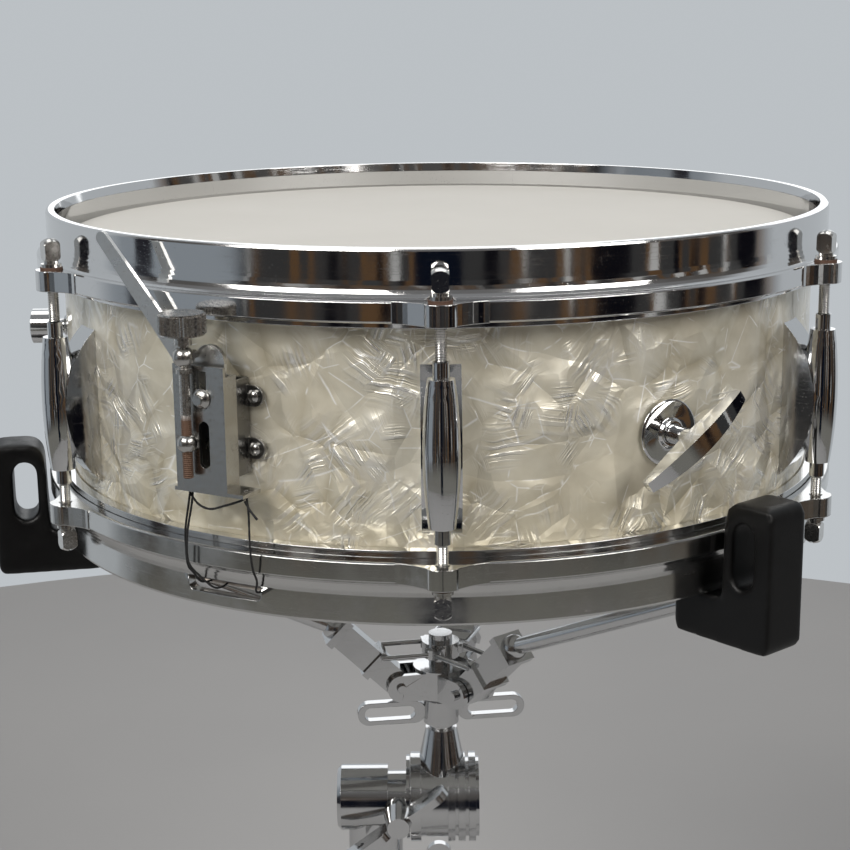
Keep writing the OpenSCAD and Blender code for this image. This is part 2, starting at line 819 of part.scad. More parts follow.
// T-bar handle and the stem that reaches through the shell
module damper_handle() {
    lens_r = pow(handle_len / 2, 2) / (handle_w - handle_end_w);
    color("silver") drum_space() facing(damper_az, 0, damper_z) {
        translate([0, 0, shell_ri - 7]) cylinder(d = damper_stem_d, h = handle_r0 - shell_ri + 7);
        rotate([0, 0, handle_turn]) t_bar(lens_r);
    }
}

module t_bar(lens_r) {
    crown_r = 90;
    intersection() {
        translate([0, lens_r - handle_w / 2, handle_r0 - handle_t / 2])
            cylinder(r = lens_r, h = handle_t, $fn = 180);
        translate([0, handle_w / 2 - lens_r, handle_r0 - handle_t / 2])
            cylinder(r = lens_r, h = handle_t, $fn = 180);
        translate([0, 0, handle_r0 - handle_t / 2])
            cylinder(r = handle_len / 2 - 0.8, h = handle_t);
        translate([0, 10, handle_r0 + handle_t / 2 - crown_r]) rotate([90, 0, 0])
            cylinder(r = crown_r, h = 20, $fn = 360);
    }
}

// Bent plate inside the shell that guides a pad's arm
module pad_bracket(z, stem_d) {
    difference() {
        union() {
            translate([-9, z - 14, shell_ri - 2.6]) cube([18, 44, 1.6]);
            translate([-9, z + 28.4, shell_ri - 14]) cube([18, 1.6, 12]);
        }
        translate([0, z, shell_ri - 4]) cylinder(d = stem_d + 0.6, h = 6);
        translate([0, z + 33, shell_ri - 9]) rotate([90, 0, 0]) cube([7, 5, 10], center = true);
    }
}

// Upright strip and the shelf that carries the felt
module pad_arm(z) {
    foot = z + 14;
    translate([-3, foot, shell_ri - 10]) cube([6, felt_top - 9.2 - foot, 1.8]);
    translate([-3, felt_top - 10.7, felt_r0 - 6]) cube([6, 1.5, shell_ri - felt_r0 - 2.2]);
}

module pad_felt() {
    translate([0, felt_top - 9.2, felt_r0]) rotate([-90, 0, 0]) cylinder(d = 26, h = 9.2);
}

module damper_bracket() {
    color("silver") drum_space() facing(damper_az, 0, 0) pad_bracket(damper_z, damper_stem_d);
}

module damper_arm() {
    color("silver") drum_space() facing(damper_az, 0, 0) pad_arm(damper_z);
}

module damper_felt() {
    color("white") drum_space() facing(damper_az, 0, 0) pad_felt();
}

module tone_bracket() {
    color("silver") drum_space() facing(tone_az, 0, 0) pad_bracket(tone_z, tone_stem_d);
}

module tone_pad() {
    color("white") drum_space() facing(tone_az, 0, 0) {
        pad_arm(tone_z);
        pad_felt();
    }
}

module tone_knob() {
    grip_len = 10.5;
    color("silver") drum_space() facing(tone_az, 0, tone_z) {
        translate([0, 0, shell_ri - 7]) cylinder(d = tone_stem_d, h = tone_tip - shell_ri);
        translate([0, 0, tone_tip - grip_len]) intersection() {
            cylinder(d = tone_knob_d, h = grip_len);
            translate([0, 0, grip_len - 20]) sphere(r = 20, $fn = 120);
        }
    }
}

// ---- Basket ----

module hub_ears(az) {
    ear_t = 3;
    at_az(az) for (s = [-1, 1])
        translate([s * (arm_w / 2 + side_gap + ear_t / 2) - ear_t / 2, -arm_pivot_r, hub_z])
            rotate([0, 90, 0]) {
                cylinder(r = 7, h = ear_t);
                translate([-7, 0, 0]) cube([14, arm_pivot_r - 8, ear_t]);
            }
}

module basket_hub() {
    color("silver") basket_space() {
        difference() {
            union() {
                translate([0, 0, hub_z + hub_low]) cylinder(r = hub_r, h = hub_high - hub_low);
                for (az = arm_azs) hub_ears(az);
            }
            translate([0, 0, hub_z - 20]) cylinder(d = stem_d + 2 * fit_gap, h = 60);
        }
        for (az = arm_azs) at_az(az)
            translate([-arm_w / 2 - 5.4, -arm_pivot_r, hub_z]) rotate([0, 90, 0])
                cylinder(d = arm_pin_d, h = arm_w + 10.8);
    }
}

// Three-pronged collar over the hub, with its pairs of link rods
module basket_collar() {
    collar_z = hub_z + 13;
    link_d = 2.4;
    link_out = arm_pivot_r + 10;
    link_len = 28;
    ring_r = stem_d / 2 + 3.5;
    ring_h = 8;
    link_x = arm_w / 2 + band_t + side_gap + link_d / 2;
    color("silver") basket_space() {
        translate([0, 0, collar_z]) tube(ring_r, stem_d / 2 + fit_gap, ring_h);
        for (az = arm_azs, s = [-1, 1]) at_az(az) {
            translate([s * link_x, -link_out, collar_z + ring_h / 2]) rotate([-90, 0, 0])
                cylinder(d = link_d, h = link_len);
            translate([s * link_x - link_d / 2, -8, collar_z + 1.6]) cube([link_d, 6, 2 * link_d]);
        }
        for (az = arm_azs) at_az(az)
            translate([-link_x - link_d / 2, -8.4, collar_z + 1.6])
                cube([2 * link_x + link_d, link_d, 2 * link_d]);
    }
}

module basket_nut() {
    color("silver") basket_space() translate([0, 0, nut_top - nut_h]) {
        tube(9, stem_d / 2 + fit_gap, nut_h);
        for (a = [8, 188]) rotate([0, 0, a]) translate([8, 2.4, nut_h / 2])
            rotate([90, 0, 0]) wing(35, 12, 4.8);
    }
}

// Arm in the plane of its azimuth: box root, bands and round tip rod
module basket_arm(az) {
    root = arm_pivot_r + arm_elbow * sin(45);
    rise = hub_z + arm_elbow * cos(45);
    run = arm_tip_r - root;
    lift = arm_tip_z - rise;
    span = sqrt(run * run + lift * lift);
    slope = atan2(run, lift);
    color("silver") basket_space() at_az(az) difference() {
        union() {
            translate([0, -arm_pivot_r, hub_z]) rotate([45, 0, 0]) {
                rotate([0, 90, 0]) cylinder(r = 6.5, h = arm_w, center = true);
                translate([-arm_w / 2, -6.5, 0]) cube([arm_w, 13, arm_elbow]);
                for (u = [16, arm_elbow - 4]) translate([-arm_w / 2 - band_t, -6.5 - band_t, u])
                    cube([arm_w + 2 * band_t, 13 + 2 * band_t, 4]);
            }
            translate([0, -root, rise]) rotate([slope, 0, 0]) {
                sphere(r = 6.4);
                cylinder(d = arm_tip_d, h = span);
            }
            translate([0, -arm_tip_r, arm_tip_z]) {
                sphere(d = arm_tip_d);
                rotate([90, 0, 0]) cylinder(d = arm_tip_d, h = arm_tip_len);
            }
        }
        translate([0, -arm_pivot_r, hub_z]) rotate([0, 90, 0])
            cylinder(d = arm_pin_d + 2 * fit_gap, h = 2 * arm_w, center = true);
    }
}

// L-shaped rubber grip: foot under the rim, post outside the hoop, slot through the post
module grip(az) {
    foot_z = rim_floor - seat_gap;
    low = foot_z - grip_foot_h;
    top = rim_floor + grip_rise;
    post_in = flange_r + 1;
    nose_r = 8;
    color("#202020") basket_space() at_az(az) difference() {
        translate([grip_w / 2, 0, 0]) rotate([0, -90, 0]) linear_extrude(grip_w) polygon(concat(
            [[foot_z - 3, -grip_in], [low + 3, -grip_in], [low, -grip_in - 3], [low, 3 - grip_out],
                [low + 1, 1 - grip_out], [low + 3, -grip_out], [top - 4, -grip_out],
                [top - 1.2, 1.2 - grip_out], [top, 4 - grip_out]],
            [for (a = [90:-15:0]) [top - nose_r + nose_r * sin(a),
                -post_in - 1 - nose_r + nose_r * cos(a)]],
            [[rim_floor + 14, -post_in - 0.6], [rim_floor + 4, -post_in],
                [foot_z, -post_in], [foot_z, -grip_in - 5]]));
        translate([-grip_w, 14.5 - grip_out, rim_floor + 17.5]) rotate([0, 90, 0])
            translate([6.5, 0, 0]) rotate([0, 0, 180]) round_bar(17, 11, 2 * grip_w);
        translate([0, -arm_tip_r, arm_tip_z]) rotate([90, 0, 0])
            cylinder(d = arm_tip_d + 2 * fit_gap, h = arm_tip_len + 1);
    }
}

// ---- Tilter and tubes ----

module tilter_head() {
    color("silver") {
        difference() {
            union() {
                translate([base_in + side_gap, 0, tilt_z]) rotate([0, 90, 0]) {
                    cylinder(d = head_d - 2 * rib_rise, h = head_len);
                    cylinder(d = head_d, h = rib_step);
                    for (i = [1:3]) translate([0, 0, head_len - i * rib_step])
                        cylinder(d = head_d, h = rib_w);
                }
                translate([basket_offset, 0, neck_foot])
                    cylinder(d1 = 2 * stem_d + 2, d2 = stem_d + 4, h = neck_h);
            }
            translate([base_in - 5, 0, tilt_z]) rotate([0, 90, 0])
                cylinder(d = tilt_pin_d + 2 * fit_gap, h = pin_reach + 7);
        }
        translate([basket_offset, 0, neck_foot + 1])
            cylinder(d = stem_d, h = stem_top - neck_foot - 1);
    }
}

module tilter_base() {
    color("silver") difference() {
        union() {
            translate([base_in - barrel_len, 0, tilt_z]) rotate([0, 90, 0]) {
                cylinder(d1 = base_d - 2 * barrel_edge, d2 = base_d, h = barrel_edge);
                translate([0, 0, barrel_edge]) cylinder(d = base_d, h = drum_len - barrel_edge);
                cylinder(d = base_neck_d, h = barrel_len);
                translate([0, 0, barrel_len - 1.8]) cylinder(d = head_d - 3, h = 1.8);
                cylinder(d = tilt_pin_d, h = barrel_len + pin_reach);
            }
            translate([0, 0, socket_foot]) cylinder(d = upper_tube_d + 6, h = socket_h);
            translate([tilter_bolt_x, 0, tilt_z]) rotate([90, 0, 0])
                cylinder(d = wing_bolt_d + 3, h = head_d / 2 - 1);
        }
        translate([base_in - barrel_len - 1, 0, tilt_z]) rotate([0, 90, 0])
            tube(base_d / 2 - barrel_edge - 2, tilt_pin_d / 2 + 2, barrel_edge + 1);
        translate([0, 0, socket_foot - 1]) cylinder(d = upper_tube_d, h = socket_lap + 1);
        translate([tilter_bolt_x, 0, tilt_z]) rotate([90, 0, 0])
            cylinder(d = wing_bolt_d + 2 * fit_gap, h = head_d);
    }
}

// Shank, hub and two wings; z = 0 is the shank's tip
module wing_bolt(shank, left, right) {
    cylinder(d = wing_bolt_d, h = shank);
    translate([0, 0, shank]) cylinder(d1 = 15, d2 = 11, h = 14);
    translate([0, 2, shank + 7.5]) rotate([90, 0, 0]) {
        translate([4, 0, 0]) paddle(right, 13, 4);
        rotate([0, 180, 0]) translate([4, 0, -4]) paddle(left, 13, 4);
    }
}

module tilter_bolt() {
    color("silver") translate([tilter_bolt_x, -tilter_bolt_r0, tilt_z]) rotate([90, 0, 0])
        rotate([0, 0, 37]) wing_bolt(tilter_shank, tilter_wing_low, tilter_wing_high);
}

module upper_tube() {
    color("silver") translate([0, 0, upper_tube_foot])
        tube(upper_tube_d / 2, upper_tube_d / 2 - upper_tube_wall,
            socket_foot + socket_lap - upper_tube_foot);
}

module lower_tube() {
    color("silver") translate([0, 0, tube_foot])
        tube(lower_tube_d / 2, upper_tube_d / 2 + fit_gap, clamp_z + clamp_lap - tube_foot);
}

module height_clamp() {
    color("silver") difference() {
        union() {
            translate([0, 0, clamp_z]) cylinder(d = lower_tube_d + 9, h = clamp_h);
            translate([0, 0, clamp_bolt_z]) rotate([0, 90, 0]) cylinder(d = 15, h = lower_tube_d / 2 + 11.3);
        }
        translate([0, 0, clamp_z - 1]) cylinder(d = upper_tube_d + 2 * fit_gap, h = clamp_h + 2);
        translate([0, 0, clamp_z - 1]) cylinder(d = lower_tube_d, h = clamp_lap + 1);
        translate([0, 0, clamp_bolt_z]) rotate([0, 90, 0])
            cylinder(d = wing_bolt_d + 2 * fit_gap, h = lower_tube_d);
    }
}

module height_bolt() {
    color("silver") translate([upper_tube_d / 2 + seat_gap, 0, clamp_bolt_z])
        rotate([0, 90, 0]) wing_bolt(height_shank, height_wing, height_wing);
}

// ---- Tripod ----

// Collar round the lower tube with a forked ear at each leg
module fork_collar(z, h, fork_w, pin_len, bore_d) {
    ear_t = 3;
    translate([0, 0, z]) difference() {
        union() {
            translate([0, 0, -h / 2]) cylinder(d = lower_tube_d + 2 * collar_wall, h = h);
            for (az = leg_azs, s = [-1, 1]) at_az(az)
                translate([s * (fork_w / 2 + side_gap + ear_t / 2) - ear_t / 2, -leg_pivot_r, 0])
                    rotate([0, 90, 0]) {
                        cylinder(r = 7, h = ear_t);
                        translate([-7, 0, 0]) cube([14, leg_pivot_r - lower_tube_d / 2 - 1, ear_t]);
                    }
        }
        translate([0, 0, -h]) cylinder(d = bore_d, h = 2 * h);
    }
    for (az = leg_azs) at_az(az) translate([-pin_len / 2, -leg_pivot_r, z])
        rotate([0, 90, 0]) cylinder(d = hinge_d, h = pin_len);
}

module leg_collar() {
    color("silver") fork_collar(leg_pivot_z, leg_collar_h, knuckle_w, knuckle_w + 2 * pin_over, lower_tube_d);
}

// Sliding collar whose solid ears sit between each brace's strips
module leg_runner() {
    rivet_over = 3.6;
    color("silver") {
        difference() {
            union() {
                translate([0, 0, runner_z - runner_h / 2]) cylinder(d = lower_tube_d + 7, h = runner_h);
                for (az = leg_azs) at_az(az) translate([-lug_half, -leg_pivot_r, runner_z])
                    rotate([0, 90, 0]) {
                        cylinder(r = knuckle_r, h = 2 * lug_half);
                        translate([-knuckle_r, 0, 0])
                            cube([2 * knuckle_r, leg_pivot_r - lower_tube_d / 2 - 1, 2 * lug_half]);
                    }
            }
            translate([0, 0, runner_z - runner_h]) cylinder(d = lower_tube_d + 2 * fit_gap, h = 2 * runner_h);
        }
        for (az = leg_azs) at_az(az)
            translate([-lug_half - rivet_over, -leg_pivot_r, runner_z]) rotate([0, 90, 0])
                cylinder(d = hinge_d, h = 2 * (lug_half + rivet_over));
    }
}

module leg_axis(az) {
    at_az(az) translate([0, -leg_pivot_r, leg_pivot_z]) rotate([-leg_angle, 0, 0]) children();
}

module leg(az) {
    color("silver") leg_axis(az) difference() {
        union() {
            rotate([0, 90, 0]) cylinder(r = knuckle_r, h = knuckle_w, center = true);
            translate([-knuckle_w / 2, -knuckle_r, -16]) cube([knuckle_w, 2 * knuckle_r, 16]);
            translate([0, 0, 6 - leg_len]) cylinder(d = leg_d, h = leg_len - 18);
        }
        rotate([0, 90, 0]) cylinder(d = hinge_d + 2 * fit_gap, h = 20, center = true);
    }
}

// Pair of strips from the runner out to the leg, with rivet heads
module brace(az) {
    color("silver") at_az(az) translate([0, -leg_pivot_r, runner_z]) rotate([leg_angle, 0, 0])
        difference() {
            for (s = [-1, 1]) translate([s * (lug_half + side_gap + brace_t / 2) + brace_t / 2, 0, 0])
                rotate([0, -90, 0]) round_bar(brace_len, 10, brace_t);
            rotate([0, 90, 0]) cylinder(d = hinge_d + 2 * fit_gap, h = 40, center = true);
        }
}

// Rubber cap on a leg's end, flat where it stands
module foot_cap(az) {
    color("#202020") difference() {
        at_az(az) translate([0, -foot_reach, 0]) cylinder(r1 = foot_r, r2 = foot_r - 3, h = 22);
        leg_axis(az) translate([0, 0, 6 - leg_len]) cylinder(d = leg_d, h = leg_len);
    }
}

shell();
shell_wrap();
vent_grommet();
batter_head();
snare_head();
batter_flesh_hoop();
snare_flesh_hoop();
batter_hoop();
snare_hoop();
lugs();
lug_screws();
batter_rods();
snare_rods();
rod_washers();
strainer_bracket();
strainer_pivot();
mounting_screws();
throw_off_lever();
upper_trunnion();
tension_knob();
strainer_slider();
snare_cord();
snare_wires();
butt_plate();
butt_cord();
damper_roses();
damper_handle();
damper_bracket();
damper_arm();
damper_felt();
tone_knob();
tone_bracket();
tone_pad();
basket_hub();
basket_collar();
basket_nut();
basket_arm(arm_azs[0]);  // basket_arm_1
basket_arm(arm_azs[1]);  // basket_arm_2
basket_arm(arm_azs[2]);  // basket_arm_3
grip(arm_azs[0]);  // grip_1
grip(arm_azs[1]);  // grip_2
grip(arm_azs[2]);  // grip_3
tilter_head();
tilter_base();
tilter_bolt();
upper_tube();
height_clamp();
height_bolt();
lower_tube();
leg_collar();
leg_runner();
leg(leg_azs[0]);  // leg_1
leg(leg_azs[1]);  // leg_2
leg(leg_azs[2]);  // leg_3
brace(leg_azs[0]);  // brace_1
brace(leg_azs[1]);  // brace_2
brace(leg_azs[2]);  // brace_3
foot_cap(leg_azs[0]);  // foot_1
foot_cap(leg_azs[1]);  // foot_2
foot_cap(leg_azs[2]);  // foot_3
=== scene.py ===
"""Looks of the snare drum on its basket stand: finishes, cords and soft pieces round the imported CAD."""

import math

import bmesh
import bpy
from mathutils import Matrix, Vector


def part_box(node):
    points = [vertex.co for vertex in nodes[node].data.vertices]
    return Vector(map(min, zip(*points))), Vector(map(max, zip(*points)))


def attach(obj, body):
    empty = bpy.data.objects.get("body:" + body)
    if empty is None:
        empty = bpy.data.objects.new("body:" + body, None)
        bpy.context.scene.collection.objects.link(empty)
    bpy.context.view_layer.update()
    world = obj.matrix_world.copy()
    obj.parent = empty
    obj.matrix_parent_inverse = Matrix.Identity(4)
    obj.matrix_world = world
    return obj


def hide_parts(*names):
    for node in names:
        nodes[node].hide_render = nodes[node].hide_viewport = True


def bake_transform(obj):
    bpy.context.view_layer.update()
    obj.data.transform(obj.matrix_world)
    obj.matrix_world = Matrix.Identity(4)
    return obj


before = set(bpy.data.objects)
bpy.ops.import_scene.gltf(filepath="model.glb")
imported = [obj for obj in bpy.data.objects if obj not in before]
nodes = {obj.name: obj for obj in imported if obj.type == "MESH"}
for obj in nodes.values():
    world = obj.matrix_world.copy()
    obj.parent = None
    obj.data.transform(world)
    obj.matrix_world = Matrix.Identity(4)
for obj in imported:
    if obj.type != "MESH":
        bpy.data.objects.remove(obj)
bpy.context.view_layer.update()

MM = 0.001
# The drum's axis and its middle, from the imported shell
shell_low, shell_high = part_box("shell")
AXIS = Vector(((shell_low[0] + shell_high[0]) / 2, (shell_low[1] + shell_high[1]) / 2))
MIDDLE = Vector((AXIS.x, AXIS.y, (shell_low[2] + shell_high[2]) / 2))


# ---- Camera ----

def add_camera():
    """A 74 mm lens on a 36 mm frame, 0.84 m in front of the drum and a little above its rim."""
    place = MIDDLE + Vector((-4.9, -839.3, 165.1)) * MM
    pitch, yaw, roll = math.radians(13.54), math.radians(-0.12), math.radians(-0.61)
    ahead = Vector((math.sin(yaw) * math.cos(pitch), math.cos(yaw) * math.cos(pitch), -math.sin(pitch)))
    right = Vector((math.cos(yaw), -math.sin(yaw), 0))
    up = right.cross(ahead)
    across = math.cos(roll) * right + math.sin(roll) * up
    above = math.cos(roll) * up - math.sin(roll) * right
    turn = Matrix((across, above, -ahead)).transposed().to_4x4()
    data = bpy.data.cameras.new("camera")
    data.sensor_width = 36
    data.lens = 74.26
    camera = bpy.data.objects.new("camera", data)
    camera.matrix_world = Matrix.Translation(place) @ turn
    bpy.context.scene.collection.objects.link(camera)
    bpy.context.scene.camera = camera


add_camera()


# ---- Node-tree helpers ----

class Tree:
    """A material's node tree, with short calls that return output sockets."""

    def __init__(self, name):
        self.material = bpy.data.materials.new(name)
        self.material.use_nodes = True
        self.nodes = self.material.node_tree.nodes
        self.links = self.material.node_tree.links
        self.shader = self.nodes["Principled BSDF"]

    def node(self, kind, **values):
        made = self.nodes.new(kind)
        for key, value in values.items():
            setattr(made, key, value)
        return made

    def feed(self, socket, value):
        if isinstance(value, bpy.types.NodeSocket):
            self.links.new(value, socket)
        else:
            socket.default_value = value

    def set(self, **values):
        for key, value in values.items():
            self.feed(self.shader.inputs[key.replace("_", " ")], value)

    def place(self, scale=(1, 1, 1), turn=(0, 0, 0)):
        where = self.node("ShaderNodeTexCoord")
        mapping = self.node("ShaderNodeMapping")
        self.links.new(where.outputs["Object"], mapping.inputs["Vector"])
        mapping.inputs["Scale"].default_value = scale
        mapping.inputs["Rotation"].default_value = turn
        return mapping.outputs["Vector"]

    def noise(self, vector, scale, detail=4, rough=0.5, distort=0, out="Fac"):
        made = self.node("ShaderNodeTexNoise")
        self.links.new(vector, made.inputs["Vector"])
        made.inputs["Scale"].default_value = scale
        made.inputs["Detail"].default_value = detail
        made.inputs["Roughness"].default_value = rough
        made.inputs["Distortion"].default_value = distort
        return made.outputs[out]

    def cells(self, vector, scale, feature="F1"):
        made = self.node("ShaderNodeTexVoronoi", feature=feature)
        self.links.new(vector, made.inputs["Vector"])
        made.inputs["Scale"].default_value = scale
        return made.outputs["Distance"]

    def ramp(self, factor, *stops):
        made = self.node("ShaderNodeValToRGB")
        marks = made.color_ramp.elements
        while len(marks) < len(stops):
            marks.new(0.5)
        for mark, (at, colour) in zip(marks, stops):
            mark.position = at
            grey = isinstance(colour, (int, float))
            mark.color = (colour, colour, colour, 1) if grey else (*colour, 1)
        self.links.new(factor, made.inputs["Fac"])
        return made.outputs["Color"]

    def math(self, what, a, b=0.0, c=0.0):
        made = self.node("ShaderNodeMath", operation=what)
        for socket, value in zip(made.inputs, (a, b, c)):
            self.feed(socket, value)
        return made.outputs[0]

    def vector(self, what, a, b=(0, 0, 0), scale=None, out="Vector"):
        made = self.node("ShaderNodeVectorMath", operation=what)
        self.feed(made.inputs[0], a)
        self.feed(made.inputs[1], b)
        if scale is not None:
            self.feed(made.inputs["Scale"], scale)
        return made.outputs[out]

    def mix(self, factor, a, b, blend="MIX"):
        made = self.node("ShaderNodeMix", data_type="RGBA", blend_type=blend)
        for socket, value in zip((made.inputs[0], made.inputs[6], made.inputs[7]), (factor, a, b)):
            if isinstance(value, tuple) and len(value) == 3:
                value = (*value, 1)
            self.feed(socket, value)
        return made.outputs[2]

    def blendf(self, factor, a, b):
        made = self.node("ShaderNodeMix", data_type="FLOAT")
        for socket, value in zip((made.inputs[0], made.inputs[2], made.inputs[3]), (factor, a, b)):
            self.feed(socket, value)
        return made.outputs[0]

    def bump(self, height, strength, distance, normal=None):
        made = self.node("ShaderNodeBump")
        made.inputs["Strength"].default_value = strength
        made.inputs["Distance"].default_value = distance
        self.links.new(height, made.inputs["Height"])
        if normal is not None:
            self.links.new(normal, made.inputs["Normal"])
        return made.outputs["Normal"]

    def rounded(self, radius):
        made = self.node("ShaderNodeBevel", samples=6)
        made.inputs["Radius"].default_value = radius * MM
        return made.outputs["Normal"]

    def height(self):
        split = self.node("ShaderNodeSeparateXYZ")
        self.links.new(self.place(), split.inputs[0])
        return split.outputs["Z"]


# ---- Finishes ----

def chrome(name, rough=0.05, pits=0.35, tint=(0.80, 0.805, 0.815), smudge=0.10, edge=0.0):
    """Plated metal: mirror bright, with fine pits, faint scratches and cloudy wiping marks."""
    t = Tree(name)
    at = t.place()
    cloud = t.noise(at, 38, 5, 0.6)
    fine = t.noise(at, 900, 2, 0.6)
    pit = t.ramp(t.cells(at, 900), (0.05, 1.0), (0.16, 0.0))
    where = t.ramp(t.noise(at, 60, 3, 0.7), (0.50, 0.0), (0.66, 1.0))
    spots = t.math("MULTIPLY", pit, where)
    scratch = t.ramp(t.noise(t.place((40, 40, 1400), (0.5, 0.3, 0.2)), 1.0, 3, 0.6, 0.6), (0.60, 0.0), (0.64, 1.0))
    t.set(Base_Color=t.mix(t.math("MULTIPLY", spots, pits), tint, (0.34, 0.32, 0.30)), Metallic=1.0)
    t.set(Roughness=t.math("ADD", t.math("MULTIPLY", t.ramp(cloud, (0.4, 0.0), (0.75, 1.0)), smudge),
                           t.math("MULTIPLY_ADD", scratch, 0.05, rough)))
    relief = t.math("ADD", t.math("MULTIPLY", spots, -1.0), t.math("MULTIPLY", fine, 0.12))
    t.set(Normal=t.bump(relief, 0.18, 0.0002, t.rounded(edge) if edge else None))
    return t.material


def worn_steel(name, rough, grime, tint=(0.66, 0.65, 0.63)):
    """Nickel-plated pressings: duller, cloudy, with dark grime in specks."""
    t = Tree(name)
    at = t.place()
    cloud = t.noise(at, 90, 6, 0.65)
    speck = t.ramp(t.noise(at, 700, 4, 0.75), (0.56, 0.0), (0.70, 1.0))
    dirt = t.math("MULTIPLY", speck, t.ramp(cloud, (0.35, 0.2), (0.65, 1.0)))
    base = t.mix(t.math("MULTIPLY", dirt, grime), tint, (0.13, 0.11, 0.09))
    t.set(Base_Color=base, Metallic=1.0, Roughness=t.math("MULTIPLY_ADD", cloud, 0.22, rough - 0.08))
    t.set(Normal=t.bump(t.math("SUBTRACT", t.noise(at, 500, 3), dirt), 0.22, 0.00025))
    return t.material


def spindle_steel():
    """The tension knob and spindle: grimy knurling above, rusty brown thread in the lower half."""
    t = Tree("tension_knob_steel")
    at = t.place()
    fall = t.math("MULTIPLY_ADD", t.height(), -60.0, (MIDDLE.z + 0.009) * 60 + 0.5)
    below = t.ramp(fall, (0.42, 0.0), (0.58, 1.0))
    speck = t.ramp(t.noise(at, 900, 5, 0.75), (0.50, 0.0), (0.64, 1.0))
    steel = t.mix(t.math("MULTIPLY", speck, 0.55), (0.62, 0.61, 0.59), (0.12, 0.10, 0.085))
    rust = t.mix(t.noise(at, 1200, 4, 0.7), (0.055, 0.026, 0.015), (0.19, 0.11, 0.07))
    t.set(Base_Color=t.mix(below, steel, rust), Metallic=t.blendf(below, 1.0, 0.35))
    t.set(Roughness=t.blendf(below, t.math("MULTIPLY_ADD", speck, 0.25, 0.22), 0.55))
    t.set(Normal=t.bump(t.noise(at, 1400, 3), 0.3, 0.0002))
    return t.material


def rod_steel():
    """Plated rods: bright crests and heads, with grime in specks."""
    t = Tree("rod_steel")
    at = t.place()
    speck = t.ramp(t.noise(at, 700, 4, 0.75), (0.56, 0.0), (0.72, 1.0))
    t.set(Base_Color=t.mix(t.math("MULTIPLY", speck, 0.45), (0.64, 0.63, 0.61), (0.12, 0.10, 0.08)), Metallic=1.0)
    t.set(Roughness=t.math("MULTIPLY_ADD", speck, 0.2, 0.16))
    t.set(Normal=t.bump(t.noise(at, 500, 3), 0.15, 0.0002))
    return t.material


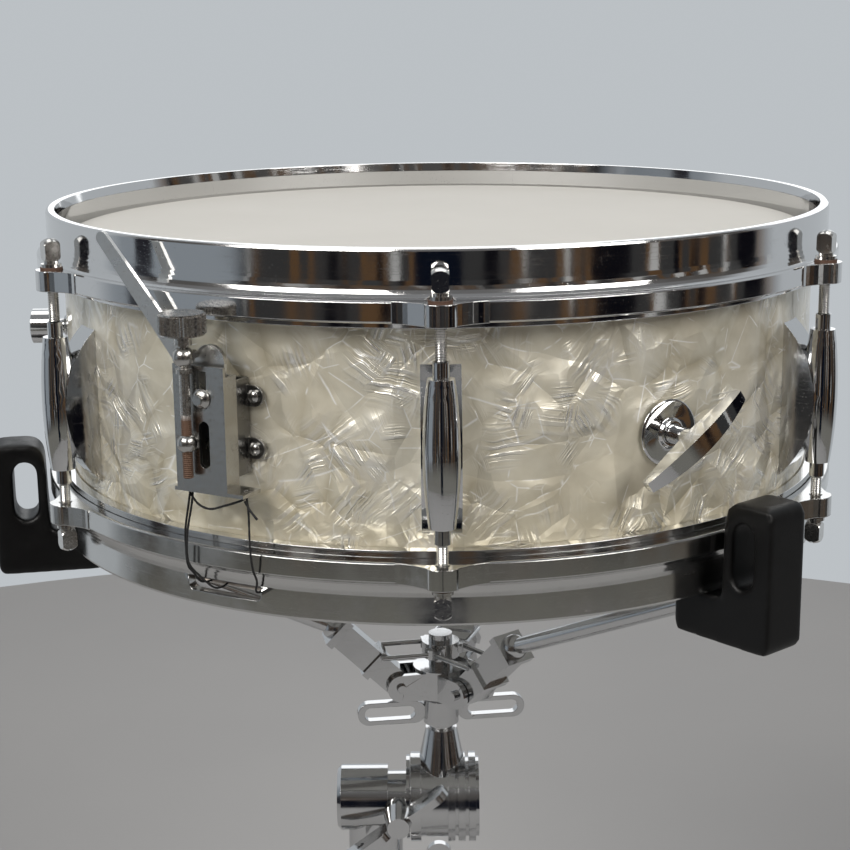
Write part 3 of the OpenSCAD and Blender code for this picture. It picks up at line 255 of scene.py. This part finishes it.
def pearl():
    """Pearl film under a clear gloss: calm cream sheets with painted shade along the creases, crumpled silky zones
    with painted sheen, and fine white crease streaks painted as highlights.
    """
    t = Tree("marine_pearl")
    at = t.place()

    def sway(scale, size, source, shift=0.0):
        moved = t.vector("ADD", source, (shift, shift * 0.7, shift * 1.3))
        drift = t.vector("SUBTRACT", t.noise(moved, scale, 2, 0.5, 0, "Color"), (0.5, 0.5, 0.5))
        return t.vector("ADD", source, t.vector("SCALE", drift, scale=size))

    loose = sway(14, 0.026, at)
    folds = sway(30, 0.008, at, 0.37)
    busy = t.ramp(t.noise(at, 17, 3, 0.6), (0.43, 0.0), (0.55, 1.0))

    def crumple(vector, scale, slope, gate=None):
        """Height of a crumpled sheet whose flat facets lean by the given slope."""
        edge = t.cells(vector, scale, "DISTANCE_TO_EDGE")
        rise = t.math("MULTIPLY", edge, slope / scale)
        return edge, (rise if gate is None else t.math("MULTIPLY", rise, gate))

    def strokes(source, scale, pitch):
        """Short parallel strokes: every cell is ruled across a direction of its own and fades at its rim."""
        cell = t.node("ShaderNodeTexVoronoi", feature="F1")
        t.feed(cell.inputs["Vector"], source)
        cell.inputs["Scale"].default_value = scale
        lean = t.vector("NORMALIZE", t.vector("SUBTRACT", cell.outputs["Color"], (0.5, 0.5, 0.5)))
        rule = t.node("ShaderNodeTexNoise", noise_dimensions="1D")
        t.feed(rule.inputs["W"], t.vector("DOT_PRODUCT", source, lean, out="Value"))
        rule.inputs["Scale"].default_value = pitch
        rule.inputs["Detail"].default_value = 2
        fade = t.ramp(cell.outputs["Distance"], (0.20, 1.0), (0.60, 0.0))
        return t.math("MULTIPLY", t.ramp(rule.outputs["Fac"], (0.44, 0.0), (0.62, 1.0)), fade)

    big, big_rise = crumple(loose, 20, 0.15)
    mid, mid_rise = crumple(folds, 46, 0.31, t.math("MULTIPLY_ADD", busy, 0.85, 0.15))
    wave = t.math("MULTIPLY", t.noise(at, 26, 2, 0.5), 0.007)
    silk_and_painted_sheen = t.math("MAXIMUM", strokes(sway(60, 0.006, at, 0.9), 42, 480), strokes(folds, 80, 760))
    silk_and_painted_sheen = t.math("MULTIPLY", silk_and_painted_sheen, busy)
    relief = t.math("ADD", t.math("ADD", big_rise, mid_rise), t.math("MULTIPLY_ADD", silk_and_painted_sheen, 0.00045, wave))
    folded = t.bump(relief, 1.0, 1.0)

    def crease(edge, width, scale, low, high, shift):
        line = t.ramp(edge, (0.0, 1.0), (width, 0.0))
        where = t.noise(t.vector("ADD", at, (shift, shift, shift)), scale, 2, 0.6)
        return t.math("MULTIPLY", line, t.ramp(where, (low, 0.0), (high, 1.0)))

    straight = t.cells(sway(24, 0.003, at, 1.9), 33, "DISTANCE_TO_EDGE")
    short = t.cells(sway(40, 0.003, at, 2.9), 74, "DISTANCE_TO_EDGE")
    # Fine white crease streaks, painted as glints into the colour
    painted_crease_glints = t.math("MAXIMUM", crease(big, 0.009, 60, 0.55, 0.61, 0.0), crease(mid, 0.016, 75, 0.55, 0.62, 0.9))
    painted_crease_glints = t.math("MAXIMUM", painted_crease_glints, crease(straight, 0.011, 50, 0.54, 0.59, 1.7))
    painted_crease_glints = t.math("MAXIMUM", painted_crease_glints, t.math("MULTIPLY", crease(short, 0.030, 90, 0.50, 0.58, 2.3), busy))
    # Ground tone: cloudy at random, with painted shade towards the creases of the mid cells
    shade = t.math("ADD", t.math("MULTIPLY", t.noise(loose, 30, 4, 0.6), 0.8), t.math("MULTIPLY", mid, 0.35))
    ground = t.ramp(shade, (0.30, (0.62, 0.575, 0.455)), (0.50, (0.765, 0.725, 0.60)), (0.72, (0.94, 0.91, 0.80)))
    # Painted shade: the colour is darkened beside the creases, in patches
    painted_crease_shade = t.math("MULTIPLY", t.ramp(mid, (0.0, 1.0), (0.14, 0.0)),
                  t.ramp(t.noise(at, 34, 3, 0.6), (0.44, 0.0), (0.58, 1.0)))
    ground = t.mix(t.math("MULTIPLY", painted_crease_shade, 0.55), ground, (0.74, 0.70, 0.60), "MULTIPLY")
    # Painted sheen: the silky strokes whiten the colour as if catching the light
    ground = t.mix(t.math("MULTIPLY", silk_and_painted_sheen, 0.9), ground, (1.0, 0.995, 0.96))
    # Painted highlights: the crease streaks whiten the colour
    ground = t.mix(painted_crease_glints, ground, (1.0, 0.995, 0.96))
    # The covering is darker and yellower towards the bottom hoop
    low = t.ramp(t.math("MULTIPLY_ADD", t.height(), -9.0, (MIDDLE.z - 0.020) * 9.0 + 0.5), (0.40, 0.0), (1.0, 1.0))
    ground = t.mix(t.math("MULTIPLY", low, 0.6), ground, (0.84, 0.76, 0.56), "MULTIPLY")
    t.set(Base_Color=ground, Metallic=t.math("MULTIPLY_ADD", silk_and_painted_sheen, 0.4, 0.34), Normal=folded)
    t.set(Roughness=t.math("MULTIPLY_ADD", silk_and_painted_sheen, -0.14, 0.38))
    t.shader.inputs["Coat Weight"].default_value = 0.8
    t.shader.inputs["Coat Roughness"].default_value = 0.04
    t.shader.inputs["Coat IOR"].default_value = 1.45
    return t.material


def coated_film():
    """Matte white coated head: fine sandy grain, cloudy tone and faint stick marks."""
    t = Tree("coated_film")
    at = t.place()
    grain = t.noise(at, 2600, 2, 0.7)
    cloud = t.noise(at, 14, 5, 0.6)
    marks = t.ramp(t.noise(t.place((1, 1, 1), (0, 0, 0.6)), 150, 5, 0.8), (0.60, 0.0), (0.74, 1.0))
    base = t.mix(cloud, (0.475, 0.466, 0.436), (0.535, 0.526, 0.496))
    base = t.mix(t.math("MULTIPLY", marks, 0.16), base, (0.55, 0.54, 0.52))
    t.set(Base_Color=base, Roughness=0.62, Normal=t.bump(grain, 0.25, 0.00012))
    return t.material


def clear_film():
    """Thin hazy snare-side film."""
    t = Tree("clear_film")
    at = t.place()
    cloud = t.noise(at, 30, 4, 0.6)
    t.set(Base_Color=t.mix(cloud, (0.66, 0.66, 0.63), (0.78, 0.78, 0.75)), Roughness=0.22)
    t.set(Normal=t.bump(t.noise(at, 60, 3), 0.15, 0.0004))
    return t.material


def rubber(name):
    """Moulded black rubber with a faint grain and dusty patches."""
    t = Tree(name)
    at = t.place()
    grain = t.noise(at, 1300, 3, 0.6)
    dust = t.ramp(t.noise(at, 70, 6, 0.75), (0.50, 0.0), (0.80, 1.0))
    base = t.mix(t.math("MULTIPLY", dust, 0.35), (0.002, 0.002, 0.0022), (0.010, 0.0095, 0.009))
    t.set(Base_Color=base, Roughness=t.math("MULTIPLY_ADD", dust, 0.2, 0.40))
    t.set(Normal=t.bump(grain, 0.2, 0.0002))
    t.shader.inputs["Specular IOR Level"].default_value = 0.3
    return t.material


def wood():
    """Maple ply seen on the bearing edge and inside the shell."""
    t = Tree("shell_wood")
    grain = t.noise(t.place((30, 30, 420)), 1.0, 6, 0.65, 0.8)
    t.set(Base_Color=t.ramp(grain, (0.35, (0.36, 0.22, 0.11)), (0.65, (0.60, 0.42, 0.24))), Roughness=0.5)
    t.set(Normal=t.bump(grain, 0.2, 0.0003))
    return t.material


def fibre():
    t = Tree("washer_fibre")
    speck = t.noise(t.place(), 900, 4, 0.7)
    t.set(Base_Color=t.mix(speck, (0.035, 0.016, 0.010), (0.12, 0.060, 0.035)), Roughness=0.7)
    t.set(Normal=t.bump(speck, 0.3, 0.0002))
    return t.material


def felt():
    t = Tree("pad_felt")
    at = t.place()
    fuzz = t.noise(at, 1500, 6, 0.8)
    t.set(Base_Color=t.mix(fuzz, (0.62, 0.60, 0.55), (0.82, 0.80, 0.75)), Roughness=0.95)
    t.set(Normal=t.bump(fuzz, 0.7, 0.0006))
    t.shader.inputs["Sheen Weight"].default_value = 0.5
    return t.material


def string():
    """Black twisted cord."""
    t = Tree("black_string")
    twist = t.node("ShaderNodeTexWave", wave_type="BANDS", bands_direction="DIAGONAL")
    t.links.new(t.place(), twist.inputs["Vector"])
    twist.inputs["Scale"].default_value = 420
    t.set(Base_Color=t.mix(twist.outputs["Fac"], (0.003, 0.003, 0.0035), (0.014, 0.014, 0.015)), Roughness=0.7)
    t.set(Normal=t.bump(twist.outputs["Fac"], 0.5, 0.0002))
    return t.material


def coil_wire():
    """Snare wires: the turns of each coil read as fine ridges along it, with painted shade between the turns and
    painted highlights on their crests.
    """
    t = Tree("snare_wire")
    at = t.place()
    ridge = t.node("ShaderNodeTexWave", wave_type="BANDS", bands_direction="X", wave_profile="SIN")
    t.links.new(t.place(turn=(0, 0, math.radians(-60.8))), ridge.inputs["Vector"])
    ridge.inputs["Scale"].default_value = 230
    dirt = t.noise(at, 400, 4, 0.7)
    # Painted shade and highlight: dark in the grooves between turns, bright on their crests
    shade = t.mix(ridge.outputs["Fac"], (0.22, 0.21, 0.20), (0.70, 0.69, 0.67))
    t.set(Base_Color=t.mix(t.math("MULTIPLY", dirt, 0.4), shade, (0.30, 0.20, 0.13)), Metallic=1.0, Roughness=0.3)
    t.set(Normal=t.bump(ridge.outputs["Fac"], 0.8, 0.0006))
    return t.material


# ---- Dressing the CAD nodes ----

SHARP = math.radians(32)


def dress(finish, *names, bevel=0.0, segments=2):
    """Gives CAD nodes their finish and, where asked, rounds their sharp edges by so many mm."""
    for name in names:
        thing = nodes[name]
        thing.data.materials.clear()
        thing.data.materials.append(finish)
        if bevel:
            weld = thing.modifiers.new("weld", "WELD")
            weld.merge_threshold = 0.00001
            edge = thing.modifiers.new("bevel", "BEVEL")
            edge.width = bevel * MM
            edge.segments = segments
            edge.limit_method = "ANGLE"
            edge.angle_limit = SHARP
            edge.harden_normals = True
            edge.use_clamp_overlap = True
            shade = thing.modifiers.new("shade", "WEIGHTED_NORMAL")
            shade.mode = "FACE_AREA_WITH_ANGLE"
            shade.weight = 50
            shade.keep_sharp = True


def mould(thing):
    """Rounds every edge of a rubber piece, as its mould does."""
    skin = thing.modifiers.new("skin", "REMESH")
    skin.mode = "VOXEL"
    skin.voxel_size = 1.2 * MM
    skin.use_smooth_shade = True
    soft = thing.modifiers.new("soft", "SMOOTH")
    soft.factor = 0.6
    soft.iterations = 14


def dress_all():
    hoop_chrome = chrome("hoop_chrome", 0.05, 0.45, (0.69, 0.69, 0.69), edge=0.5)
    lug_chrome = chrome("lug_chrome", 0.035, 0.25, (0.66, 0.665, 0.67))
    stand_chrome = chrome("stand_chrome", 0.09, 0.3, (0.60, 0.605, 0.61), smudge=0.14)
    press = worn_steel("strainer_steel", 0.18, 0.3, (0.50, 0.495, 0.48))
    # Painted shade: the bracket and butt plate steel is much darker than the strainer's, standing in for their
    # shade
    bracket = worn_steel("bracket_steel_painted_shade", 0.26, 0.4, (0.26, 0.257, 0.25))
    dull = worn_steel("dull_steel", 0.34, 0.5)
    dress(hoop_chrome, "batter_hoop")
    dress(chrome("low_hoop_chrome", 0.08, 0.9, (0.58, 0.58, 0.57), 0.2, edge=0.5), "snare_hoop")
    dress(hoop_chrome, "batter_flesh_hoop", "snare_flesh_hoop")
    dress(lug_chrome, "lugs", bevel=1.0, segments=3)
    dress(lug_chrome, "damper_handle", "damper_roses", "tone_knob", bevel=0.4)
    dress(rod_steel(), "batter_rods", "snare_rods")
    dress(fibre(), "rod_washers")
    dress(worn_steel("lever_steel", 0.26, 0.25, (0.74, 0.735, 0.72)), "throw_off_lever", bevel=0.3)
    dress(press, "strainer_slider", bevel=0.3)
    dress(bracket, "strainer_bracket", "butt_plate", bevel=0.3)
    dress(press, "upper_trunnion", "strainer_pivot", "mounting_screws")
    dress(spindle_steel(), "tension_knob")
    dress(dull, "lug_screws", "damper_bracket", "tone_bracket", "damper_arm", "vent_grommet")
    dress(pearl(), "shell_wrap")
    dress(wood(), "shell")
    dress(coated_film(), "batter_head")
    dress(clear_film(), "snare_head")
    dress(coil_wire(), "snare_wires")
    black = rubber("grip_rubber")
    for i in (1, 2, 3):
        dress(black, f"grip_{i}")
        mould(nodes[f"grip_{i}"])
        dress(black, f"foot_{i}", bevel=1.0, segments=3)
        dress(stand_chrome, f"basket_arm_{i}", f"leg_{i}", f"brace_{i}", bevel=0.5)
    dress(stand_chrome, "basket_hub", "basket_collar", "basket_nut", "tilter_head", "tilter_base",
          "tilter_bolt", "height_clamp", "height_bolt", "leg_collar", "leg_runner", bevel=0.7, segments=3)
    dress(stand_chrome, "upper_tube", "lower_tube", bevel=0.4)


dress_all()


# ---- Cords and felts ----

CORD_RUNS = (
    ((-9, 190, -22.7), (-10, 190.6, -30), (-12, 190.6, -40), (-12.4, 190.4, -48), (-12.4, 189.6, -56),
     (-11.6, 187, -60), (-10.6, 184.4, -64), (-10, 181, -65.4), (-10, 177.2, -66)),
    ((-8, 190, -24), (-8.2, 191, -30), (-10.6, 191.4, -42), (-11, 191, -54), (-8, 187.4, -61), (-4, 184, -66),
     (-2, 181, -66.4), (-2, 177.2, -66)),
    ((18, 190, -22.7), (19.4, 190.8, -30), (19.6, 191, -42), (20, 190.4, -52), (19.6, 187, -59), (17.2, 184.4, -64),
     (16.2, 181, -66), (15.4, 177.2, -66)),
    ((-8.6, 191.4, -24.4), (-4, 192, -28.6), (2, 192.4, -29.8), (9, 192.4, -27.6), (15, 191.6, -25.4),
     (18, 191.4, -24)),
    ((18.6, 192, -24.6), (21.6, 192.6, -28), (25, 193, -31)),
)
CORD_D = 1.0 * MM
CORD_SIDES = 12
STRAINER_AZ = math.radians(-29.2)
FELT_SIDES = 72


def rounded_line(points, steps=6):
    """The points joined by a smooth Catmull-Rom line that passes through each of them."""
    ends = [points[0] * 2 - points[1], *points, points[-1] * 2 - points[-2]]
    line = []
    for a, b, c, d in zip(ends, ends[1:], ends[2:], ends[3:]):
        for k in range(steps):
            u = k / steps
            line.append(0.5 * (2 * b + (c - a) * u + (2 * a - 5 * b + 4 * c - d) * u * u
                               + (3 * b - a - 3 * c + d) * u ** 3))
    return line + [points[-1]]


def string_mesh(name, azimuth, finish, lowest=-100.0, highest=0.0, thick=1.0):
    """The snares' cord at one side between two heights, as tubes with two twisted strands each."""
    work = bmesh.new()
    across = Vector((math.cos(azimuth), math.sin(azimuth), 0))
    out = Vector((math.sin(azimuth), -math.cos(azimuth), 0))
    for run in CORD_RUNS:
        line = rounded_line([MIDDLE + (across * x + out * r + Vector((0, 0, z))) * MM for x, r, z in run])
        line = [point for point in line if lowest < (point.z - MIDDLE.z) / MM < highest]
        if len(line) < 2:
            continue
        rings, travelled = [], 0.0
        for i, point in enumerate(line):
            ahead = (line[min(i + 1, len(line) - 1)] - line[max(i - 1, 0)]).normalized()
            side = ahead.cross(across if abs(ahead.dot(across)) < 0.8 else out).normalized()
            above = ahead.cross(side)
            travelled += (point - line[max(i - 1, 0)]).length
            ring = []
            for k in range(CORD_SIDES):
                a = k * math.tau / CORD_SIDES
                swell = 0.80 + 0.20 * abs(math.cos(a - travelled / (1.1 * MM)))
                spoke = side * math.cos(a) + above * math.sin(a)
                ring.append(work.verts.new(point + spoke * swell * thick * CORD_D / 2))
            rings.append(ring)
        for low, high in zip(rings, rings[1:]):
            for k in range(CORD_SIDES):
                n = (k + 1) % CORD_SIDES
                work.faces.new((low[k], low[n], high[n], high[k]))
        work.faces.new(rings[0][::-1])
        work.faces.new(rings[-1])
    mesh = bpy.data.meshes.new(name)
    work.to_mesh(mesh)
    work.free()
    mesh.shade_smooth()
    mesh.materials.append(finish)
    piece = bpy.data.objects.new(name, mesh)
    bpy.context.scene.collection.objects.link(piece)
    return piece


def add_strings():
    finish = string()
    # The knots move with the slider, and their short ends slide on the strings below
    knots = string_mesh("snare_knots", STRAINER_AZ, finish, lowest=-31.5)
    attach(knots, "slider")
    # The foot of each string stays in the hoop's gate while its top drops with the strainer
    front = string_mesh("snare_string", STRAINER_AZ, finish, highest=-26.0, thick=0.96)
    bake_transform(front)
    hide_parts("snare_cord")
    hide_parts("snare_cord")
    back = string_mesh("butt_string", STRAINER_AZ + math.pi, finish)
    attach(back, "drum")
    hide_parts("butt_cord")


def felt_disc(work, middle, low, high, radius):
    """A pressed felt disc, crowned a little and soft at both rims."""
    depth = high - low
    profile = ((0.0, 0.0), (0.90, 0.0), (0.985, 0.13), (1.0, 0.45), (0.99, 0.80), (0.90, 0.965), (0.5, 0.995),
               (0.0, 1.0))
    rings = []
    for share, level in profile:
        if share == 0:
            rings.append([work.verts.new((middle.x, middle.y, low + depth * level))])
            continue
        ring = []
        for k in range(FELT_SIDES):
            a = k * math.tau / FELT_SIDES
            fuzz = 1 - 0.008 * (1 + math.sin(7 * a + 9 * level) * math.sin(13 * a - 4 * level))
            ring.append(work.verts.new((middle.x + radius * share * fuzz * math.cos(a),
                                        middle.y + radius * share * fuzz * math.sin(a), low + depth * level)))
        rings.append(ring)
    for k in range(FELT_SIDES):
        n = (k + 1) % FELT_SIDES
        work.faces.new((rings[0][0], rings[1][n], rings[1][k]))
        work.faces.new((rings[-1][0], rings[-2][k], rings[-2][n]))
        for low_ring, high_ring in zip(rings[1:-2], rings[2:-1]):
            work.faces.new((low_ring[k], low_ring[n], high_ring[n], high_ring[k]))


def finished(work, name, finish, body, slot, *replaced):
    bmesh.ops.recalc_face_normals(work, faces=work.faces)
    mesh = bpy.data.meshes.new(name)
    work.to_mesh(mesh)
    work.free()
    mesh.shade_smooth()
    mesh.materials.append(finish)
    piece = bpy.data.objects.new(name, mesh)
    bpy.context.scene.collection.objects.link(piece)
    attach(piece, body)
    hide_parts(*replaced)
    return piece


def add_felts():
    finish = felt()
    low, high = (Vector(c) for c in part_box("damper_felt"))
    work = bmesh.new()
    felt_disc(work, (low + high) / 2, low.z, high.z, (high.x - low.x) / 2)
    finished(work, "damper_felt_disc", finish, "damper_arm", "felt", "damper_felt")
    # The tone damper's disc stands at the same height on its own arm, on the left of the shell
    azimuth = math.radians(-89.2)
    out = Vector((math.sin(azimuth), -math.cos(azimuth), 0))
    reach = ((low + high) / 2 - MIDDLE).xy.length
    spot = Vector((AXIS.x, AXIS.y, 0)) + out * reach
    work = bmesh.new()
    felt_disc(work, spot, low.z, high.z, (high.x - low.x) / 2)
    finished(work, "tone_felt_disc", finish, "tone_pad", "felt", "tone_pad")
    # Its arm: an upright strip and the shelf under the felt
    arm_low, arm_high = (Vector(c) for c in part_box("tone_pad"))
    steel = worn_steel("tone_arm_steel", 0.34, 0.5)
    outer = AXIS.x - arm_low.x
    work = bmesh.new()
    strips = (((outer - 1.8 * MM, outer), (arm_low.z, low.z)), ((reach - 6 * MM, outer), (low.z - 1.5 * MM, low.z)))
    for (near, far), (foot, top) in strips:
        box = bmesh.ops.create_cube(work, size=1.0)["verts"]
        turn = Matrix.Rotation(azimuth, 4, "Z")
        size = Matrix.Diagonal((6 * MM, far - near, top - foot, 1))
        at = Matrix.Translation(Vector((AXIS.x, AXIS.y, (foot + top) / 2)) + out * (near + far) / 2)
        bmesh.ops.transform(work, matrix=at @ turn @ size, verts=box)
    arm = finished(work, "tone_arm", steel, "tone_pad", "steel", "tone_pad")
    arm.data.shade_flat()
    edge = arm.modifiers.new("bevel", "BEVEL")
    edge.width = 0.3 * MM
    edge.segments = 2


add_strings()
add_felts()


# ---- Floor, lamps and surroundings ----

def add_floor():
    """A plain round floor, just wide enough to fill the lower part of the view."""
    mesh = bpy.data.meshes.new("floor")
    work = bmesh.new()
    bmesh.ops.create_circle(work, cap_ends=True, segments=128, radius=1.3)
    work.to_mesh(mesh)
    work.free()
    floor = bpy.data.objects.new("floor", mesh)
    bpy.context.scene.collection.objects.link(floor)
    t = Tree("floor_paint")
    t.set(Base_Color=t.mix(t.noise(t.place(), 3, 3), (0.36, 0.36, 0.365), (0.41, 0.41, 0.41)), Roughness=0.9)
    mesh.materials.append(t.material)


def add_lamp(name, place, aim, size, power, spread=180, tint=(1, 1, 1)):
    data = bpy.data.lights.new(name, "AREA")
    data.shape = "RECTANGLE"
    data.size, data.size_y = size
    data.energy = power
    data.spread = math.radians(spread)
    data.color = tint
    lamp = bpy.data.objects.new(name, data)
    lamp.location = place
    lamp.rotation_euler = (Vector(place) - Vector(aim)).to_track_quat("Z", "Y").to_euler()
    bpy.context.scene.collection.objects.link(lamp)


def add_world():
    """A dim room for the chrome, with dark and bright upright patches in front and a plain wall behind."""
    world = bpy.data.worlds.new("room")
    bpy.context.scene.world = world
    world.use_nodes = True
    tree = world.node_tree
    t = Tree.__new__(Tree)
    t.nodes, t.links = tree.nodes, tree.links
    t.shader = tree.nodes["Background"]
    where = t.node("ShaderNodeTexCoord").outputs["Generated"]
    split = t.node("ShaderNodeSeparateXYZ")
    t.links.new(where, split.inputs[0])
    level = t.math("MULTIPLY_ADD", split.outputs["Z"], 0.5, 0.5)
    # Grey floor below, a dark furnished room at eye level, and a dim ceiling
    room = t.ramp(level, (0.0, 0.16), (0.335, (0.19, 0.185, 0.165)), (0.365, 0.030), (0.60, 0.060),
                  (0.74, (0.10, 0.095, 0.09)), (1.0, (0.28, 0.285, 0.295)))
    upright = t.vector("MULTIPLY", where, (1.0, 1.0, 0.12))
    wall = t.ramp(level, (0.345, 0.0), (0.37, 1.0), (0.62, 1.0), (0.74, 0.0))
    furniture = t.ramp(t.noise(upright, 6.5, 1, 0.5), (0.44, 0.0), (0.46, 1.0), (0.54, 1.0), (0.56, 0.0))
    room = t.mix(t.math("MULTIPLY", furniture, wall), room, (0.105, 0.060, 0.030))
    dark = t.ramp(t.noise(upright, 5.2, 2, 0.5), (0.54, 0.0), (0.56, 1.0))
    room = t.mix(t.math("MULTIPLY", dark, wall), room, (0.004, 0.004, 0.006))
    pale = t.ramp(t.noise(t.vector("ADD", upright, (3.1, 1.7, 0.0)), 13.0, 0), (0.70, 0.0), (0.72, 1.0))
    room = t.mix(t.math("MULTIPLY", pale, wall), room, (0.45, 0.45, 0.44))
    # A pale wall closes the room on the left, with one dark post before it
    left = t.ramp(t.math("MULTIPLY_ADD", split.outputs["X"], 0.5, 0.5), (0.075, 1.0), (0.10, 0.0))
    post = t.ramp(t.math("ABSOLUTE", split.outputs["Y"]), (0.05, 1.0), (0.07, 0.0))
    plain = t.mix(post, (0.27, 0.30, 0.33), (0.02, 0.02, 0.025))
    room = t.mix(t.math("MULTIPLY", left, wall), room, plain)
    # A dark figure stands straight in front
    figure = t.ramp(t.math("ABSOLUTE", split.outputs["X"]), (0.10, 1.0), (0.12, 0.0))
    figure = t.math("MULTIPLY", figure, t.ramp(level, (0.20, 0.0), (0.24, 1.0), (0.60, 1.0), (0.63, 0.0)))
    figure = t.math("MULTIPLY", figure, t.ramp(split.outputs["Y"], (0.0, 1.0), (0.05, 0.0)))
    room = t.mix(figure, room, (0.004, 0.006, 0.012))
    # The plain wall is seen by the camera everywhere, and by the metal where it stands behind the drum
    path = t.node("ShaderNodeLightPath")
    behind = t.ramp(t.math("MULTIPLY_ADD", split.outputs["Y"], 0.5, 0.5), (0.58, 0.0), (0.66, 1.0))
    mirrored = t.math("MAXIMUM", path.outputs["Is Glossy Ray"], path.outputs["Is Transmission Ray"])
    seen = t.math("MAXIMUM", path.outputs["Is Camera Ray"], t.math("MULTIPLY", mirrored, behind))
    t.feed(t.shader.inputs["Color"], t.mix(seen, room, (0.50, 0.53, 0.555)))
    t.shader.inputs["Strength"].default_value = 1.0


def light_scene():
    aim = tuple(MIDDLE)
    warm = (1.0, 0.975, 0.94)
    add_lamp("key", (-1.2, -1.5, 2.1), aim, (1.7, 1.1), 15, 100, warm)
    add_lamp("fill", (1.4, -1.4, 1.9), aim, (1.3, 0.9), 8.5, 100, warm)
    add_lamp("top", (0.1, 0.5, 2.2), aim, (1.8, 1.2), 4.0, 110, warm)
    add_lamp("back", (0.2, 2.0, 1.2), aim, (1.8, 1.0), 6)


add_floor()
add_world()
light_scene()
scene = bpy.context.scene
scene.view_settings.view_transform = "Standard"
